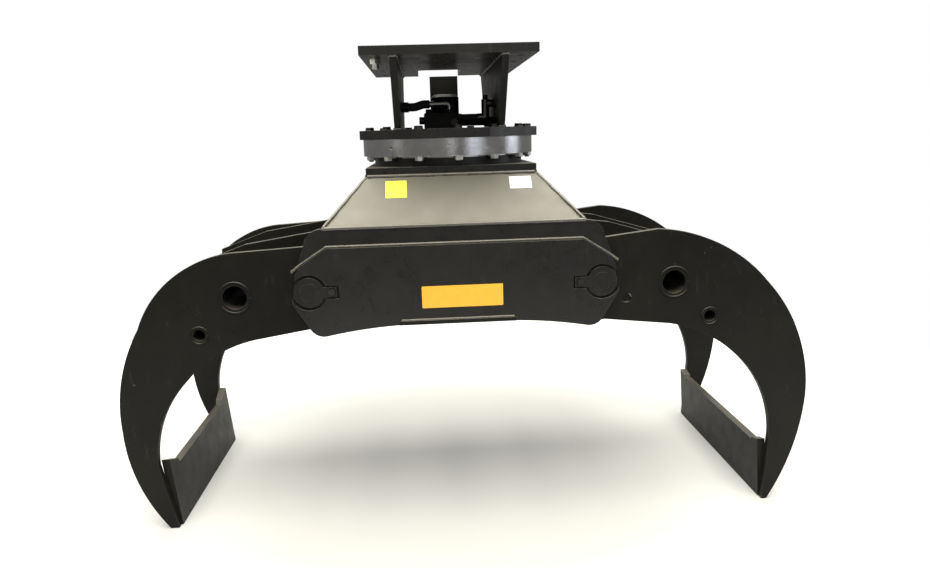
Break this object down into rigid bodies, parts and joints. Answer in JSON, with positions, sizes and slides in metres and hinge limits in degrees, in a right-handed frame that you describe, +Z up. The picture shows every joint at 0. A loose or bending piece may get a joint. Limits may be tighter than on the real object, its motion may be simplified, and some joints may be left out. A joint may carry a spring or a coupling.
{
  "type": "log grapple",
  "caption": "Rotating log grapple for an excavator: hitch plate on a slewing ring, box frame and two curved claws closed by one cylinder.",
  "frame": {"origin": "centre of the hitch plate's upper face, where the grapple bolts to the carrier", "axes": "+Z up out of the hitch face; X from the left claw to the right claw; Y from the front side plate to the rear one"},
  "size_m": [2.1328, 0.81, 1.437],
  "materials": {
    "black_paint": "semi-gloss",
    "bright_steel": "machined",
    "zinc_steel": "zinc plated",
    "black_steel": "blackened",
    "hose_rubber": "matte",
    "bush_bronze": "machined",
    "rod_chrome": "polished"
  },
  "bodies": {
    "adapter": {"hitch_plate": "black_paint", "adapter_left_plate": "black_paint", "adapter_right_plate": "black_paint", "adapter_ring_plate": "black_paint", "hose_bracket": "black_paint", "transit_bolt": "zinc_steel", "slewing_outer_race": "bright_steel", "ring_bolts": "black_steel", "ring_nuts": "zinc_steel", "slew_motor": "black_paint", "motor_bolts": "black_steel", "rotary_union_body": "black_paint", "left_hose": "hose_rubber", "left_hose_pipe": "zinc_steel", "right_hoses": "hose_rubber", "hose_fittings": "zinc_steel", "port_plugs": "zinc_steel"},
    "pinion": {"drive_pinion": "bright_steel"},
    "frame": {"slewing_inner_race": "bright_steel", "slewing_balls": "bright_steel", "slewing_spacer": "black_paint", "inner_race_bolts": "black_steel", "union_spool": "bright_steel", "base_plate": "black_paint", "front_slope_plate": "black_paint", "rear_slope_plate": "black_paint", "end_walls": "black_paint", "front_side_plate": "black_paint", "rear_side_plate": "black_paint", "front_doubler": "black_paint", "rear_doubler": "black_paint", "belly_plate": "black_paint", "inner_ribs": "black_paint", "pivot_pins": "bright_steel", "pin_keepers": "black_paint", "pin_end_discs": "black_paint", "pin_bolts": "zinc_steel"},
    "left_claw": {"left_front_tine": "black_paint", "left_rear_tine": "black_paint", "left_front_inner_plate": "black_paint", "left_rear_inner_plate": "black_paint", "left_pivot_tube": "black_paint", "left_pivot_bushes": "bush_bronze", "left_cross_tubes": "black_paint", "left_tip_plate": "black_paint", "left_cylinder_pin": "bright_steel"},
    "right_claw": {"right_front_tine": "black_paint", "right_rear_tine": "black_paint", "right_front_inner_plate": "black_paint", "right_rear_inner_plate": "black_paint", "right_pivot_tube": "black_paint", "right_pivot_bushes": "bush_bronze", "right_cross_tubes": "black_paint", "right_tip_plate": "black_paint", "right_cylinder_pin": "bright_steel"},
    "barrel": {"cylinder_barrel": "black_paint", "cylinder_gland": "black_paint"},
    "rod": {"cylinder_rod": "rod_chrome", "cylinder_piston": "bright_steel"}
  },
  "joints": [
    {"name": "slew", "type": "hinge", "parent": "adapter", "child": "frame", "pos_m": [0, 0, -0.2825], "axis": [0, 0, 1], "continuous": true},
    {"name": "pinion_spin", "type": "hinge", "parent": "adapter", "child": "pinion", "pos_m": [0, 0.16, -0.2855], "axis": [0, 0, 1], "continuous": true},
    {"name": "right_claw_hinge", "type": "hinge", "parent": "frame", "child": "right_claw", "pos_m": [0.43, 0, -0.68], "axis": [0, 1, 0], "range_deg": [0, 60]},
    {"name": "left_claw_hinge", "type": "hinge", "parent": "frame", "child": "left_claw", "pos_m": [-0.43, 0, -0.68], "axis": [0, -1, 0], "range_deg": [0, 60]},
    {"name": "barrel_eye", "type": "hinge", "parent": "left_claw", "child": "barrel", "pos_m": [-0.32, 0, -0.5575], "axis": [0, -1, 0], "range_deg": [-60, 0]},
    {"name": "rod_eye", "type": "hinge", "parent": "right_claw", "child": "rod", "pos_m": [0.32, 0, -0.5575], "axis": [0, 1, 0], "range_deg": [-60, 0]}
  ],
  "couplings": [
    {"joint": "pinion_spin", "follows": "slew", "ratio": 5},
    {"joint": "left_claw_hinge", "follows": "right_claw_hinge", "ratio": 1},
    {"joint": "barrel_eye", "follows": "right_claw_hinge", "ratio": -1},
    {"joint": "rod_eye", "follows": "right_claw_hinge", "ratio": -1}
  ]
}
